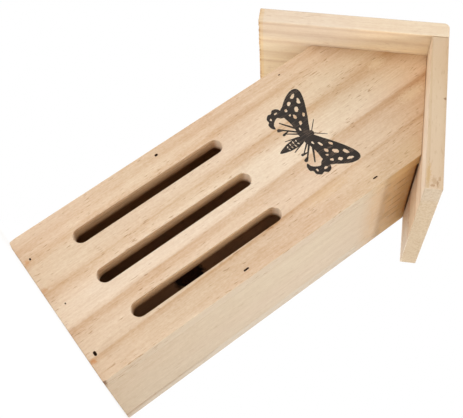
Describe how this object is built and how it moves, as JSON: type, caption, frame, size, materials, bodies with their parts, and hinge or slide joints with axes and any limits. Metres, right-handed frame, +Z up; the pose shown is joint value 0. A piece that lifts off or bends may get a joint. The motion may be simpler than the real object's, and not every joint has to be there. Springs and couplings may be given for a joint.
{
  "type": "butterfly house",
  "caption": "Tall narrow pine butterfly house with upright round-ended entrance slots, a steep lapped gable roof that overhangs the front, and a flat back with a let-in keyhole hanging plate.",
  "frame": {"origin": "middle of the floor board's underside, on the surface that the house stands on", "axes": "+Z up the house, -Y out of the front with the slots, +Y out of the flat back, +X to the right seen from the front"},
  "size_m": [0.1598, 0.102, 0.2822],
  "materials": {
    "front_pine": "planed bare pine, soft upright bands",
    "side_pine": "planed bare pine, plain and slightly grey",
    "back_pine": "planed bare pine with a dark knot",
    "floor_pine": "planed bare pine",
    "left_roof_pine": "planed bare pine with close straight lines, saw-cut ends",
    "right_roof_pine": "planed bare pine, saw-cut ends",
    "brad_steel": "bare steel wire, dark in its pit",
    "plate_zinc": "bright zinc plating",
    "print_ink": "matt black printing ink, thin enough to show the grain"
  },
  "bodies": {
    "root": {"front_panel": "front_pine", "back_panel": "back_pine", "left_side_panel": "side_pine", "right_side_panel": "side_pine", "floor_panel": "floor_pine", "left_roof_board": "left_roof_pine", "right_roof_board": "right_roof_pine", "front_brad_left_upper": "brad_steel", "front_brad_left_lower": "brad_steel", "front_brad_right_upper": "brad_steel", "front_brad_right_lower": "brad_steel", "front_brad_floor_left": "brad_steel", "front_brad_floor_middle": "brad_steel", "front_brad_floor_right": "brad_steel", "back_brad_left_upper": "brad_steel", "back_brad_left_lower": "brad_steel", "back_brad_right_upper": "brad_steel", "back_brad_right_lower": "brad_steel", "back_brad_floor_left": "brad_steel", "back_brad_floor_middle": "brad_steel", "back_brad_floor_right": "brad_steel", "roof_brad_left_front_upper": "brad_steel", "roof_brad_left_front_lower": "brad_steel", "roof_brad_left_back_upper": "brad_steel", "roof_brad_left_back_lower": "brad_steel", "roof_brad_right_front_upper": "brad_steel", "roof_brad_right_front_lower": "brad_steel", "roof_brad_right_back_upper": "brad_steel", "roof_brad_right_back_lower": "brad_steel", "ridge_brad_front": "brad_steel", "ridge_brad_middle": "brad_steel", "ridge_brad_back": "brad_steel", "hanger_plate": "plate_zinc", "hanger_screw_upper": "plate_zinc", "hanger_screw_lower": "plate_zinc"}
  },
  "joints": []
}
